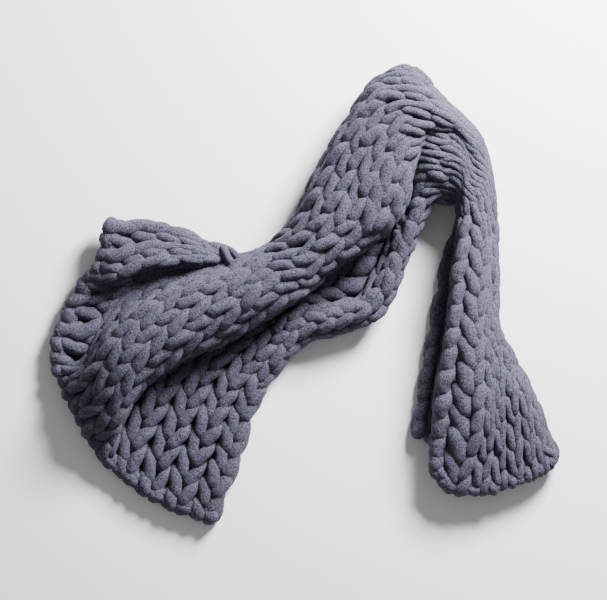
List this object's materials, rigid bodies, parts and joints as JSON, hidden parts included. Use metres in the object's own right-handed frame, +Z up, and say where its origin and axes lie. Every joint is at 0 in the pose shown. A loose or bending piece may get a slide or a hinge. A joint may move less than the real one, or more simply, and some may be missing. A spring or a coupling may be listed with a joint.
{
  "type": "chunky knit throw blanket",
  "caption": "Chunky knit throw in thick chenille yarn, lying loosely gathered and folded over on the floor, with one end opened into a fan.",
  "frame": {"origin": "middle of the throw's box, on the floor", "axes": "+Z up from the floor, +X from the fan-shaped cast-on end towards the narrow bound-off end, +Y towards the folded top of the arch"},
  "size_m": [0.7762, 0.691, 0.13],
  "materials": {
    "chenille_yarn": "matt, soft pile"
  },
  "bodies": {
    "root": {"blanket": "chenille_yarn"}
  },
  "joints": []
}
